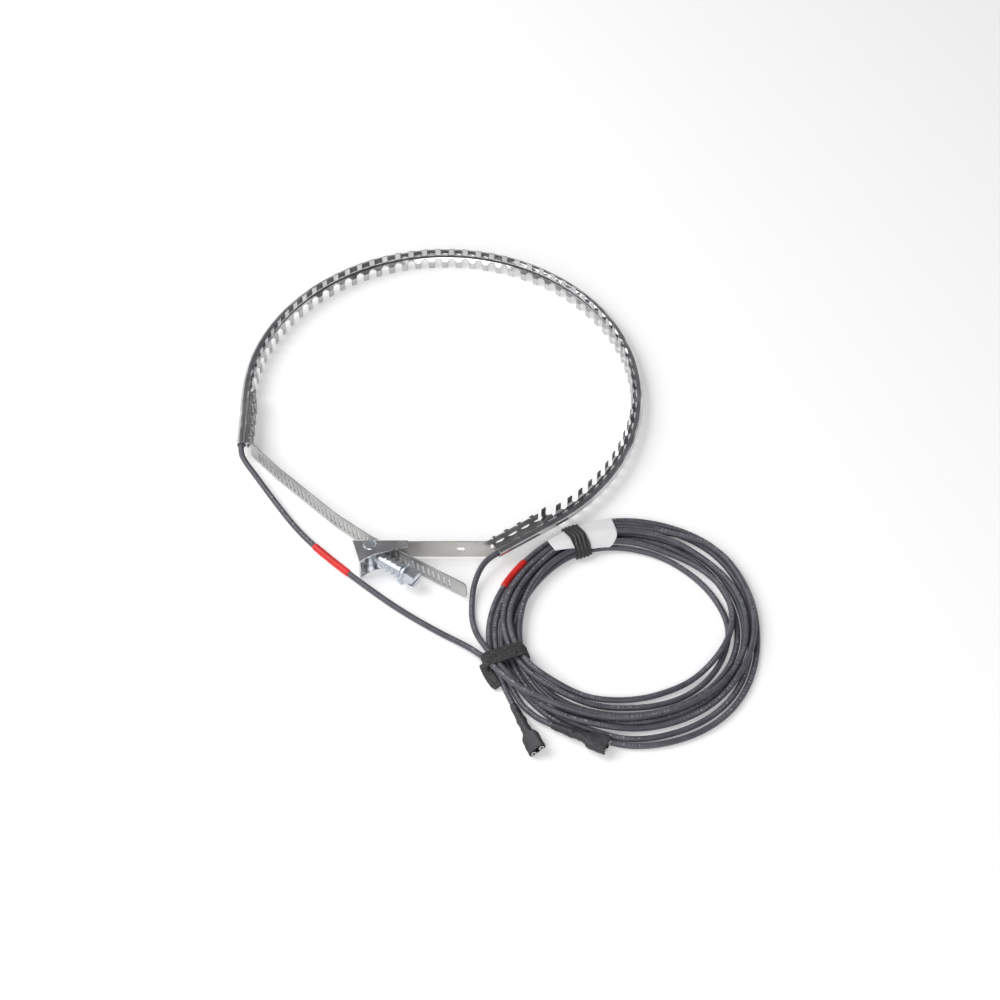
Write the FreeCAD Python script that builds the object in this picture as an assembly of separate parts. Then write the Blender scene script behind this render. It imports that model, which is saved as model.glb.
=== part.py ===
import FreeCAD, Part
import math
import os

# Crankcase heater: a sheet-metal ring with fingers that holds a round heating cord against a
# compressor shell, closed by a slotted band and a swinging worm screw, with two coiled supply leads.
# Millimetres. The origin is the ring's axis on the surface that the part lies on, +Z is up.

os.makedirs("parts", exist_ok=True)
Vec = FreeCAD.Vector

# Ring channel
ring_radius = 108.0
arc_start_deg = -55.5
arc_end_deg = 180.0
straight_length = 37.0
arc_pitches = 55
finger_width = 2.8
finger_reach = 7.5
sheet = 0.45
tube_radius = 2.6
neck_half_gap = 1.0
finger_inset = 3.75
shoulder_height = 2.9
ledge_height = 1.7
ledge_inset = 4.9
root_overlap = 0.05
root_drop = 0.15
ledge_fold_out = 0.3
notch_apex_inset = 2.55
scallop_apex_inset = 4.2
notch_floor = 0.3
crimp_return = 0.6
tube_sides = 14
bore_sides = 8
slot_station_step = 0.25
same_direction = 0.9
arch_sides = 4
cord_sides = 12

# Heating cord in the channel and the seals at its ends
cord_clearance = 0.25
seal_length = 5.6
seal_recess = 0.4

# Clamp straps
strap_thickness = 0.6
strap_height = 12.7
band_height = 11.6
strap_inset = 5.35
prong_slot_half_height = 2.1
crimp_clearance = 0.05
prong_end_gap = 8.0
band_prong_end_gap = 1.5
crotch_overrun = 1.2
band_knee_run = 2.2
strap_line_offset = 0.6
strap_end_clearance = 1.0
strap_hole_width = 4.2
strap_hole_height = 3.2
strap_hole_corner_share = 0.4
strap_hole_x = 11.4
band_tip_radius = 2.2
band_bend_radius = 5.0
band_sweep_radius = 90.0
strap_bend_radius = 4.0
slot_pitch = 3.175
slot_width = 1.3
slot_height = 6.5
slot_lean_deg = 6.0
slot_end_margin = 9.0
fork_depth = 4.0
band_first_bend = (14.65, -16.5)
band_bends_from_pivot = ((-18.9, 21.7), (-0.6, 7.2))
band_tip_from_pivot = (50.3, -24.8)

# Clamp housing
housing_sheet = 0.7
housing_height = 14.2
housing_bend_radius = 1.12
housing_left_x = -45.0
housing_right_x = -16.0
housing_nose = (-5.0, -11.0)
housing_front = ((1.5, -6.5), (8.1, -4.5), (19.8, -1.3))
window_left_x = -43.0
window_right_x = -27.0
window_clearance = 0.15
pivot_x = -35.8
pivot_drop = 2.0
barrel_radius = 3.2
barrel_hole_clearance = 0.3
barrel_overhang = 0.2

# Worm screw
screw_angle_deg = -36.0
shank_radius = 2.0
shank_clearance = 0.1
barrel_chamfer = 0.3
rivet_radius = 2.7
rivet_length = 0.9
rivet_gap = 0.4
thread_start = 5.2
thread_end = 22.2
thread_radius = 4.4
thread_depth = 0.95
thread_root_share = 0.72
thread_crest_share = 0.26
thread_sink = 0.2
flange_gap = 0.6
flange_radius = 6.2
flange_thickness = 1.2
flange_chamfer = 0.35
head_across_flats = 7.94
head_length = 6.2
head_rounding = 0.45
head_rounding_spread = 1.7
driver_slot_width = 1.2
driver_slot_depth = 1.8

# Leads, markers and crimp terminals
lead_radius = 1.55
lead_exit_run = 5.6
tail_turn_distance = 6.0
tail_inside = 8.0
marker_wall = 0.35
marker_clearance = 0.05
marker_a_length = 27.0
marker_a_place = (-56.0, -110.8)
marker_a_heading_deg = -43.5
marker_b_start_deg = 139.5
marker_b_end_deg = 157.0
marker_b_depth = 4.4
sleeve_wall = 0.45
sleeve_length = 31.0
sleeve_neck_radius = 2.15
sleeve_crimp_radius = 2.6
crimp_flattening = 0.5
sleeve_neck_end = 8.1
sleeve_crimp_start = 10.5
sleeve_crimp_end = 17.4
sleeve_flat_start = 21.1
round_power = 2.0
flat_power = 3.4
oblong_sides = 12
bay_flare_start = 18.6
bay_end_gap = 1.2
sleeve_flat_width = 9.4
sleeve_flat_height = 4.6
terminal_barrel_radius = 1.75
terminal_barrel_length = 7.0
terminal_sheet = 0.4
terminal_strip_width = 2.4
terminal_strip_length = 2.0
strip_overlap = 1.0
tab_width = 7.5
tab_length = 9.5
curl_radius = 1.3
terminal_recess = 0.5

# Coil of both leads
coil_bearing_deg = -58.385
coil_stand_off = 2.24
coil_height = 6.4
coil_outer_radius = 70.6
coil_inner_radius = 48.7
tie_squeeze = 2.2
hook_tie_deg = 198.5
hook_tie_width = 8.0
hook_tie_thickness = 1.4
ribbed_tie_deg = 112.7
ribbed_tie_width = 9.0
ribbed_tie_thickness = 1.2
label_thickness = 0.3
label_start_deg = 93.0
label_end_deg = 128.0
label_depth = 4.0
soft_gap = 0.3
edge_step_deg = 7.5

# Sizes that follow from the ones above
centre_height = finger_reach
pitch_deg = (arc_end_deg - arc_start_deg) / arc_pitches
pitch = math.radians(pitch_deg) * ring_radius
tube_bore = tube_radius - sheet
cord_radius = tube_bore - cord_clearance
end_angles = (arc_start_deg, arc_end_deg)
strap_line_y = strap_line_offset - ring_radius
pivot_y = -ring_radius - pivot_drop
coil_distance = ring_radius + coil_outer_radius + coil_stand_off
coil_x = coil_distance * math.cos(math.radians(coil_bearing_deg))
coil_y = coil_distance * math.sin(math.radians(coil_bearing_deg))


def export(name, shape):
    """Write one sub-part and print what it holds."""
    shape.exportStep("parts/" + name + ".step")
    print(name, len(shape.Solids), "solids", round(shape.Volume, 1), "mm3", shape.isValid())


def unit(vector):
    return Vec(vector).normalize()


def rounded_path(points, radii):
    """Lines through the points, with a tangent arc of the given radius at each inner point."""
    edges = []
    start = points[0]
    for before, corner, after, radius in zip(points, points[1:], points[2:], radii):
        back = unit(before - corner)
        ahead = unit(after - corner)
        half_turn = (math.pi - back.getAngle(ahead)) / 2.0
        tangent = radius * math.tan(half_turn)
        arc_in = corner + back * tangent
        arc_out = corner + ahead * tangent
        arc_mid = corner + unit(back + ahead) * (radius / math.cos(half_turn) - radius)
        edges.append(Part.LineSegment(start, arc_in).toShape())
        edges.append(Part.Arc(arc_in, arc_mid, arc_out).toShape())
        start = arc_out
    edges.append(Part.LineSegment(start, points[-1]).toShape())
    return edges


def offset_path(points, distance):
    """The points of a plan path moved sideways, to the left for a positive distance."""
    moved = []
    for index, point in enumerate(points):
        before = points[max(index - 1, 0)]
        after = points[min(index + 1, len(points) - 1)]
        into = unit(point - before) if index else unit(after - point)
        out = unit(after - point) if index < len(points) - 1 else into
        left_in = Vec(-into.y, into.x, 0)
        left_out = Vec(-out.y, out.x, 0)
        mitre = unit(left_in + left_out)
        moved.append(point + mitre * (distance / mitre.dot(left_in)))
    return moved


def turn_sign(before, corner, after):
    return 1.0 if (corner - before).cross(after - corner).z > 0 else -1.0


def upright_sheet(points, radii, thickness, low, high):
    """A thin wall standing on a plan path, between two heights."""
    plan = [Vec(x, y, low) for x, y in points]
    signs = [turn_sign(a, b, c) for a, b, c in zip(plan, plan[1:], plan[2:])]
    half = thickness / 2.0
    left = rounded_path(offset_path(plan, half), [r - s * half for r, s in zip(radii, signs)])
    right = rounded_path(offset_path(plan, -half), [r + s * half for r, s in zip(radii, signs)])
    caps = [Part.LineSegment(a[i].Vertexes[v].Point, b[i].Vertexes[v].Point).toShape()
            for a, b, i, v in ((left, right, 0, 0), (left, right, -1, -1))]
    outline = Part.Wire(Part.__sortEdges__(left + right + caps))
    return Part.Face(outline).extrude(Vec(0, 0, high - low))


def cord_radii(points):
    """Bend radii that fill the runs of a cord's route."""
    radii = []
    for before, corner, after in zip(points, points[1:], points[2:]):
        half_turn = (math.pi - (before - corner).getAngle(after - corner)) / 2.0
        shorter = min((before - corner).Length, (after - corner).Length)
        radii.append(0.45 * shorter / math.tan(half_turn))
    return radii


def regular_section(centre, normal, radius, first=Vec(0, 0, 1)):
    """A regular polygon with the area of a disc, across a direction."""
    corner = radius * math.sqrt(2.0 * math.pi / (cord_sides * math.sin(2.0 * math.pi / cord_sides)))
    up = unit(first - normal * first.dot(normal))
    side = normal.cross(up)
    points = []
    for k in range(cord_sides):
        angle = 2.0 * math.pi * (k + 0.5) / cord_sides
        points.append(centre + up * (corner * math.cos(angle)) + side * (corner * math.sin(angle)))
    return Part.Face(Part.makePolygon(points + points[:1]))


def tube(points, radius):
    """A cord along straight runs and tangent arcs."""
    route = [Vec(*point) for point in points]
    section = regular_section(route[0], unit(route[1] - route[0]), radius)
    pieces = []
    for edge in rounded_path(route, cord_radii(route)):
        curve = edge.Curve
        if hasattr(curve, "Radius"):
            turn = math.degrees(edge.LastParameter - edge.FirstParameter)
            pieces.append(section.revolve(curve.Center, curve.Axis, turn))
            section.rotate(curve.Center, curve.Axis, turn)
        else:
            run = edge.Vertexes[1].Point - edge.Vertexes[0].Point
            pieces.append(section.extrude(run))
            section.translate(run)
    return pieces[0].multiFuse(pieces[1:])


def report_cord(name, points, solid, radius):
    route = [Vec(*point) for point in points]
    length = Part.Wire(rounded_path(route, cord_radii(route))).Length
    ratio = solid.Volume / (math.pi * radius ** 2 * length)
    print(name, "length", round(length, 1), "smallest bend", round(min(cord_radii(route)), 1),
          "volume to section times length", round(ratio, 4))


# Ring channel: sections are drawn as distance inwards from the channel's centre and height over it
def section_point(inward, up):
    return Vec(ring_radius - inward, 0, centre_height + up)


def sheet_section(points):
    """A folded strip's section, as thick as the sheet, with its folds mitred."""
    centre = [Vec(inward, up, 0) for inward, up in points]
    left = offset_path(centre, sheet / 2.0)
    right = offset_path(centre, -sheet / 2.0)
    ring = [section_point(p.x, p.y) for p in left + right[::-1]]
    return Part.Face(Part.makePolygon(ring + ring[:1]))


def polar_point(radius, degrees, side=1):
    angle = math.radians(degrees)
    return section_point(radius * math.cos(angle), side * radius * math.sin(angle))


neck_deg = math.degrees(math.asin(neck_half_gap / tube_radius))


def tube_arc(radius, sides):
    """Corners of the tube's wall, from one lip of its neck round to the other."""
    sweep = 360.0 - 2.0 * neck_deg
    return [polar_point(radius, neck_deg + sweep * k / sides) for k in range(sides + 1)]


def tube_section():
    """The round, nearly closed part of the channel, open towards the ring's axis."""
    points = tube_arc(tube_radius, tube_sides) + tube_arc(tube_bore, bore_sides)[::-1]
    return Part.Face(Part.makePolygon(points + points[:1]))


def round_section(radius):
    return regular_section(section_point(0, 0), Vec(0, 1, 0), radius)


root_point = (tube_bore - root_overlap, neck_half_gap - root_drop)
ledge_fold = (tube_radius + ledge_fold_out, ledge_height)


def mirrored(points, side):
    return [(inward, side * up) for inward, up in points]


def along_arc(face):
    swept = face.revolve(Vec(0, 0, 0), Vec(0, 0, 1), arc_end_deg - arc_start_deg)
    return swept.rotate(Vec(0, 0, 0), Vec(0, 0, 1), arc_start_deg)


def end_direction(end_deg):
    """The way a straight end runs, away from the arc."""
    angle = math.radians(end_deg)
    forward = Vec(-math.sin(angle), math.cos(angle), 0)
    return forward if end_deg == arc_end_deg else forward * -1.0


def along_end(face, end_deg, start, length):
    """A section carried along a straight end, from a distance past the arc."""
    placed = face.copy().rotate(Vec(0, 0, 0), Vec(0, 0, 1), end_deg)
    placed.translate(end_direction(end_deg) * start)
    return placed.extrude(end_direction(end_deg) * length)


def end_place(end_deg, along, inward, up=0.0):
    """A point beside a straight end."""
    angle = math.radians(end_deg)
    outward = Vec(math.cos(angle), math.sin(angle), 0)
    return outward * (ring_radius - inward) + end_direction(end_deg) * along + Vec(0, 0, centre_height + up)


def arc_radius_through(chord, rise):
    return (chord ** 2 / 4.0 + rise ** 2) / (2.0 * rise)


def notch_tool(apex, reach, side):
    """Upright block with an arched end that cuts between two fingers of the upper or lower row."""
    gap = pitch - finger_width
    radius = arc_radius_through(gap, reach - apex)
    half_sweep = math.asin(gap / 2.0 / radius)
    low = notch_floor if side > 0 else -finger_reach - notch_floor
    points = [section_point(reach + gap, low) - Vec(0, gap / 2.0, 0)]
    for k in range(arch_sides + 1):
        angle = half_sweep * (2.0 * k / arch_sides - 1.0)
        inward = apex + radius * (1.0 - math.cos(angle))
        points.append(section_point(inward, low) + Vec(0, radius * math.sin(angle), 0))
    points.append(section_point(reach + gap, low) + Vec(0, gap / 2.0, 0))
    return Part.Face(Part.makePolygon(points + points[:1])).extrude(Vec(0, 0, finger_reach))


def build_channel():
    parts = [along_arc(tube_section())]
    parts += [along_end(tube_section(), end, 0.0, straight_length) for end in end_angles]
    for side in (1, -1):
        parts += finger_row(side)
        for end in end_angles:
            parts += ledge_row(side, end)
    return parts[0].multiFuse(parts[1:]).removeSplitter()


def finger_row(side):
    """One row of fingers round the arc, cut from a turned flange; the lower row is half a pitch on."""
    flange_points = [root_point, (finger_inset, shoulder_height), (finger_inset, finger_reach)]
    face = sheet_section(mirrored(flange_points, side))
    flange = along_arc(face)
    shift = 0.0 if side > 0 else 0.5
    if side < 0:
        tails = [along_end(face, end, 0.0, pitch / 2.0) for end in end_angles]
        flange = flange.multiFuse(tails)
    tool = notch_tool(notch_apex_inset, finger_inset + sheet / 2.0, side)
    count = arc_pitches + (1 if side > 0 else 0)
    notches = [tool.copy().rotate(Vec(0, 0, 0), Vec(0, 0, 1), arc_start_deg + (k + shift) * pitch_deg)
               for k in range(count)]
    if side < 0:
        for end in end_angles:
            placed = tool.copy().rotate(Vec(0, 0, 0), Vec(0, 0, 1), end)
            placed.translate(end_direction(end) * (pitch / 2.0))
            notches.append(placed)
    return [flange.cut(notches)]


def finger_blank(side, end, along, crimped):
    """A finger of a straight end: out through the strap's fork, up behind it and over its edge."""
    held_height = strap_height if end == arc_start_deg else band_height
    back = strap_inset + strap_thickness / 2.0 + crimp_clearance + sheet / 2.0
    fold = held_height / 2.0 + crimp_clearance + sheet / 2.0
    front = strap_inset - strap_thickness / 2.0 - crimp_clearance - sheet / 2.0
    points = [(ledge_inset - sheet, ledge_height), (back, ledge_height)]
    if crimped:
        points += [(back, fold), (front, fold), (front, fold - crimp_return)]
    else:
        points += [(back, finger_reach)]
    low = along - finger_width / 2.0
    high = min(along + finger_width / 2.0, straight_length)
    return along_end(sheet_section(mirrored(points, side)), end, low, high - low)


def ledge_row(side, end):
    """The wider ledge of a straight end, scalloped between its fingers."""
    start = 0.0 if side > 0 else pitch / 2.0
    face = sheet_section(mirrored([root_point, ledge_fold, (ledge_inset, ledge_height)], side))
    ledge = along_end(face, end, start, straight_length - start)
    tool = notch_tool(scallop_apex_inset, ledge_inset, side)
    scallops = []
    for k in range(5):
        placed = tool.copy().rotate(Vec(0, 0, 0), Vec(0, 0, 1), end)
        placed.translate(end_direction(end) * (start + k * pitch))
        scallops.append(placed)
    gap = prong_end_gap if end == arc_start_deg else band_prong_end_gap
    stands = []
    for k in range(5):
        along = (k + 0.5) * pitch + start
        if along < straight_length:
            stands.append(finger_blank(side, end, along, along > gap))
    return [ledge.cut(scallops)] + stands


# Fork of a strap: the middle third is open where the channel's fingers come through
def fork_slot(end, gap):
    """Block that removes the middle third between the two prongs of a strap's fork."""
    length = straight_length + crotch_overrun - gap + fork_depth
    block = Part.makeBox(fork_depth, length, 2.0 * prong_slot_half_height)
    block.translate(Vec(-fork_depth / 2.0, -length, -prong_slot_half_height))
    block.rotate(Vec(0, 0, 0), Vec(0, 0, 1), math.degrees(math.atan2(end_direction(end).y,
                                                                     end_direction(end).x)) - 90.0)
    block.translate(end_place(end, straight_length + crotch_overrun, strap_inset))
    return block


def plan(vector):
    return (vector.x, vector.y)


def line_crossing_y(start, direction, y):
    return start + direction * ((y - start.y) / direction.y)


def edges_along(shape, direction):
    """A shape's straight edges that run along a direction."""
    return [e for e in shape.Edges if abs(e.tangentAt(0).dot(direction)) > same_direction]


def build_plain_strap():
    low = centre_height - strap_height / 2.0
    high = centre_height + strap_height / 2.0
    tip = end_place(arc_start_deg, prong_end_gap, strap_inset)
    bend = line_crossing_y(tip, end_direction(arc_start_deg), strap_line_y)
    end_x = window_right_x + strap_end_clearance
    path = [plan(tip), plan(bend), (end_x, strap_line_y)]
    strap = upright_sheet(path, [strap_bend_radius], strap_thickness, low, high)
    hole = Part.makeBox(strap_hole_width, fork_depth, strap_hole_height)
    hole = hole.makeFillet(strap_hole_corner_share * strap_hole_height, edges_along(hole, Vec(0, 1, 0)))
    hole.translate(Vec(strap_hole_x - strap_hole_width / 2.0, strap_line_y - fork_depth / 2.0,
                       centre_height - strap_hole_height / 2.0))
    return strap.cut([fork_slot(arc_start_deg, prong_end_gap), hole])


def band_path():
    tip = end_place(arc_end_deg, band_prong_end_gap, strap_inset)
    knee = end_place(arc_end_deg, straight_length + band_knee_run, strap_inset)
    first = (knee.x + band_first_bend[0], knee.y + band_first_bend[1])
    bends = [(pivot_x + x, pivot_y + y) for x, y in band_bends_from_pivot + (band_tip_from_pivot,)]
    return [plan(tip), plan(knee), first] + bends


def build_slotted_band():
    low = centre_height - band_height / 2.0
    high = centre_height + band_height / 2.0
    radii = [band_bend_radius, band_sweep_radius, band_sweep_radius, band_sweep_radius]
    path = band_path()
    band = upright_sheet(path, radii, strap_thickness, low, high)
    corners = [Vec(path[-1][0], path[-1][1], z) for z in (low, high)]
    tip_edges = [e for e in band.Edges if e.Length < 2.0 * strap_thickness
                 and min((e.CenterOfMass - c).Length for c in corners) < strap_thickness]
    band = band.makeFillet(band_tip_radius, tip_edges)
    route = Part.Wire(rounded_path([Vec(x, y, centre_height) for x, y in path], radii))
    first = straight_length - band_prong_end_gap + crotch_overrun + slot_end_margin
    count = int((route.Length - first - slot_end_margin / 2.0) / slot_pitch)
    stations = route.discretize(Distance=slot_station_step)
    slots = []
    for k in range(count):
        index = int(round((first + k * slot_pitch) / route.Length * (len(stations) - 1)))
        ahead = unit(stations[min(index + 1, len(stations) - 1)] - stations[index - 1])
        slot = Part.makeBox(slot_width, fork_depth, slot_height)
        slot.translate(Vec(-slot_width / 2.0, -fork_depth / 2.0, -slot_height / 2.0))
        slot.rotate(Vec(0, 0, 0), Vec(0, 1, 0), -slot_lean_deg)
        slot.rotate(Vec(0, 0, 0), Vec(0, 0, 1), math.degrees(math.atan2(ahead.y, ahead.x)))
        slot.translate(stations[index])
        slots.append(slot)
    return band.cut([fork_slot(arc_end_deg, band_prong_end_gap)] + slots)


# Clamp housing: one folded sheet, with two wings, a back and a closed left end
housing_back_y = strap_line_y + strap_thickness / 2.0 + housing_sheet


def from_pivot(offset):
    return Vec(pivot_x + offset[0], pivot_y + offset[1], 0)


def housing_outline():
    """The wings' outline, from the back's left corner round the nose and along the front."""
    points = [Vec(housing_left_x, housing_back_y, 0), from_pivot(housing_nose)]
    points += [from_pivot(corner) for corner in housing_front]
    points.append(Vec(housing_right_x, housing_back_y, 0))
    return Part.Face(Part.makePolygon(points + points[:1]))


def housing_hollow():
    """The room between the wings, open to the front and the right."""
    back_y = housing_back_y - housing_sheet
    corner = Vec(housing_left_x, housing_back_y, 0)
    nose = from_pivot(housing_nose)
    wall = unit(nose - corner)
    shift = Vec(-wall.y, wall.x, 0) * housing_sheet
    start = corner + shift
    inner_back = start + wall * ((back_y - start.y) / wall.y)
    inner_nose = nose + shift + wall * housing_height
    open_x = housing_right_x + housing_height
    points = [inner_back, inner_nose, Vec(open_x, inner_nose.y, 0), Vec(open_x, back_y, 0)]
    return Part.Face(Part.makePolygon(points + points[:1]))


def long_edges(solid, y):
    return [e for e in solid.Edges if abs(e.CenterOfMass.y - y) < 0.01 and abs(e.tangentAt(0).x) > 0.99]


def build_housing():
    low = centre_height - housing_height / 2.0
    block = housing_outline().extrude(Vec(0, 0, housing_height))
    block = block.makeFillet(housing_bend_radius, long_edges(block, housing_back_y))
    hollow = housing_hollow().extrude(Vec(0, 0, housing_height - 2.0 * housing_sheet))
    hollow.translate(Vec(0, 0, housing_sheet))
    housing = block.cut(hollow)
    housing.translate(Vec(0, 0, low))
    window = Part.makeBox(window_right_x - window_left_x, fork_depth, band_height + 2.0 * window_clearance)
    window.translate(Vec(window_left_x, housing_back_y - fork_depth / 2.0,
                         centre_height - band_height / 2.0 - window_clearance))
    holes = Part.makeCylinder(barrel_radius + barrel_hole_clearance, 2.0 * housing_height,
                              Vec(pivot_x, pivot_y, 0))
    return housing.cut([window, holes])


def screw_place(shape):
    """From the screw's own frame, along +X from its pivot, to where it lies."""
    shape.rotate(Vec(0, 0, 0), Vec(0, 0, 1), screw_angle_deg)
    shape.translate(Vec(pivot_x, pivot_y, centre_height))
    return shape


def turned(length, radius, start):
    return Part.makeCylinder(radius, length, Vec(start, 0, 0), Vec(1, 0, 0))


def build_barrel():
    height = housing_height + 2.0 * barrel_overhang
    barrel = Part.makeCylinder(barrel_radius, height, Vec(0, 0, -height / 2.0))
    barrel = barrel.makeChamfer(barrel_chamfer, [e for e in barrel.Edges if e.isClosed()])
    bore = turned(4.0 * barrel_radius, shank_radius + shank_clearance, -2.0 * barrel_radius)
    return screw_place(barrel.cut(bore))


def thread_solid():
    """The worm: one coarse thread wound round the core."""
    core = thread_radius - thread_depth
    length = thread_end - thread_start - slot_pitch / 2.0
    helix = Part.makeHelix(slot_pitch, length, core)
    half_root = slot_pitch * thread_root_share / 2.0
    half_crest = slot_pitch * thread_crest_share / 2.0
    inner = core - thread_sink
    points = [Vec(inner, 0, -half_root), Vec(thread_radius, 0, -half_crest),
              Vec(thread_radius, 0, half_crest), Vec(inner, 0, half_root)]
    profile = Part.makePolygon(points + points[:1])
    worm = Part.Wire(helix).makePipeShell([profile], True, True)
    worm.rotate(Vec(0, 0, 0), Vec(0, 1, 0), 90)
    worm.translate(Vec(thread_start + slot_pitch / 4.0, 0, 0))
    return worm


def hex_head(start):
    corner = head_across_flats / math.sqrt(3.0)
    points = [Vec(start, corner * math.cos(math.radians(60 * k)), corner * math.sin(math.radians(60 * k)))
              for k in range(6)]
    head = Part.Face(Part.makePolygon(points + points[:1])).extrude(Vec(head_length, 0, 0))
    wide = corner + head_length * head_rounding_spread
    rounding = Part.makeCone(wide, corner - head_rounding, head_length, Vec(start, 0, 0), Vec(1, 0, 0))
    slot = Part.makeBox(2.0 * driver_slot_depth, 4.0 * corner, driver_slot_width)
    slot.translate(Vec(start + head_length - driver_slot_depth, -2.0 * corner, -driver_slot_width / 2.0))
    return head.common(rounding).cut(slot)


def build_screw():
    core = thread_radius - thread_depth
    rivet_start = -barrel_radius - rivet_gap - rivet_length
    flange_start = thread_end + flange_gap
    shank = turned(thread_start - rivet_start, shank_radius, rivet_start)
    rivet = turned(rivet_length, rivet_radius, rivet_start)
    body = turned(flange_start - thread_start, core, thread_start)
    flange = turned(flange_thickness, flange_radius, flange_start)
    flange = flange.makeChamfer(flange_chamfer, [e for e in flange.Edges if e.isClosed()])
    head = hex_head(flange_start + flange_thickness)
    screw = shank.multiFuse([rivet, body, flange, head, thread_solid()])
    return screw_place(screw.removeSplitter())


# Leads from the channel's ends to the coil
def exit_points(end):
    """Where a lead starts on its seal, and where it first turns, past the channel's mouth."""
    start = straight_length - seal_recess
    return [tuple(end_place(end, along, 0.0)) for along in (start, start + lead_exit_run)]


def terminal_axis(letter, along):
    """A point on a terminal's axis, measured from its sleeve's neck."""
    start, heading_deg, rise_deg, roll_deg = terminal_places[letter]
    level = along * math.cos(math.radians(rise_deg))
    heading = math.radians(heading_deg)
    return (start[0] + level * math.cos(heading), start[1] + level * math.sin(heading),
            start[2] + along * math.sin(math.radians(rise_deg)))


def from_coil(x, y, z):
    """A point given by its distance from the coil's centre."""
    return (coil_x + x, coil_y + y, z)


terminal_places = {
    "a": (from_coil(-56.6, -47.0, 2.8), -67.0, 3.2, 35.0),
    "b": (from_coil(-37.4, -59.2, 3.2), -27.0, 4.0, 6.0),
}
left_route = exit_points(arc_end_deg) + [
    (-105.2, -48.2, 7.0), (-99.5, -56.0, 5.8), (-92.4, -66.4, 4.3), (-84.0, -78.4, 3.0),
    (-76.2, -89.2, 2.2), (-65.4, -101.8, 2.0), (-46.0, -120.2, 2.0), (-22.0, -140.8, 1.6),
    (0.5, -156.4, 1.6), (14.6, -164.6, 2.2), (24.2, -169.6, 3.2),
]
right_route = exit_points(arc_start_deg) + [
    (22.3, -117.8, 6.6), (19.3, -124.4, 4.9), (17.6, -132.0, 3.2), (17.2, -140.0, 2.0),
    (17.3, -147.6, 1.65), (18.9, -156.0, 1.9), (23.4, -163.0, 3.2),
]


def tail_route(letter, start):
    """A lead's last stretch, from the coil into its sleeve along the terminal's axis."""
    turn = terminal_axis(letter, -tail_turn_distance)
    return [(start[0], start[1], turn[2]), turn, terminal_axis(letter, tail_inside)]


tail_routes = {
    "a": tail_route("a", from_coil(-60.9, -35.6, 0)),
    "b": tail_route("b", from_coil(-48.0, -51.6, 0)),
}


def build_marker_a():
    """Printed sleeve on the left lead, carried on the same bends."""
    stretch = Part.makeBox(marker_a_length, marker_a_length, marker_a_length)
    stretch.translate(Vec(-1.0, -1.0, -1.0) * (marker_a_length / 2.0))
    stretch.rotate(Vec(0, 0, 0), Vec(0, 0, 1), marker_a_heading_deg)
    stretch.translate(Vec(marker_a_place[0], marker_a_place[1], lead_radius))
    outer = tube(left_route, lead_radius + marker_wall + marker_clearance).common(stretch)
    return outer.cut(tube(left_route, lead_radius + marker_clearance))


# Crimp terminals and their shrunk sleeves
def soft_oblong(width, height, x, power):
    """A closed rounded section across +X, between an ellipse and a rectangle."""
    points = []
    for k in range(oblong_sides):
        angle = 2.0 * math.pi * (k + 0.5) / oblong_sides
        c = math.cos(angle)
        s = math.sin(angle)
        scale = (abs(c) ** power + abs(s) ** power) ** (-1.0 / power)
        points.append(Vec(x, width / 2.0 * c * scale, height / 2.0 * s * scale))
    return Part.makePolygon(points + points[:1])


def sleeve_skin(grow):
    """The sleeve's surface, moved in by a wall: neck, crimp, shoulder and flat mouth."""
    neck = 2.0 * sleeve_neck_radius
    crimp = 2.0 * sleeve_crimp_radius
    flattened = crimp - crimp_flattening
    stations = (
        (0.0, neck, neck, round_power),
        (sleeve_neck_end, neck, neck, round_power),
        (sleeve_crimp_start, crimp, flattened, round_power),
        (sleeve_crimp_end, crimp, flattened, round_power),
        (sleeve_flat_start, sleeve_flat_width, sleeve_flat_height, flat_power),
        (sleeve_length, sleeve_flat_width, sleeve_flat_height, flat_power),
    )
    wires = [soft_oblong(w + 2.0 * grow, h + 2.0 * grow, x, power) for x, w, h, power in stations]
    return Part.makeLoft(wires, True, True)


def build_sleeve():
    return sleeve_skin(0.0).cut(sleeve_skin(-sleeve_wall))


def build_terminal():
    """Folded receptacle: a crimp barrel, a strip and a flat floor with two rolled edges."""
    mouth = sleeve_length - terminal_recess
    tab_start = mouth - tab_length
    barrel_end = tab_start - terminal_strip_length
    floor_z = -curl_radius - terminal_sheet / 2.0
    strip_y = -terminal_strip_width / 2.0
    barrel = turned(terminal_barrel_length, terminal_barrel_radius, barrel_end - terminal_barrel_length)
    barrel = barrel.cut(turned(terminal_barrel_length, terminal_barrel_radius - terminal_sheet,
                               barrel_end - terminal_barrel_length))
    strip_length = terminal_strip_length + 2.0 * strip_overlap
    strip = Part.makeBox(strip_length, terminal_strip_width, terminal_sheet,
                         Vec(barrel_end - strip_overlap, strip_y, -terminal_barrel_radius))
    floor_width = tab_width - 2.0 * curl_radius + terminal_sheet
    floor = Part.makeBox(tab_length, floor_width, terminal_sheet, Vec(tab_start, -floor_width / 2.0, floor_z))
    step = terminal_barrel_radius - curl_radius + terminal_sheet / 2.0
    ramp = Part.makeBox(strip_overlap * 2.0, terminal_strip_width, step,
                        Vec(tab_start - strip_overlap, strip_y, -terminal_barrel_radius))
    parts = [strip, floor, ramp]
    for side in (1, -1):
        y = side * (tab_width / 2.0 - curl_radius)
        curl = Part.makeCylinder(curl_radius, tab_length, Vec(tab_start, y, 0), Vec(1, 0, 0))
        bore = Part.makeCylinder(curl_radius - terminal_sheet, tab_length, Vec(tab_start, y, 0), Vec(1, 0, 0))
        parts.append(curl.cut(bore))
    return barrel.multiFuse(parts).removeSplitter()


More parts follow.
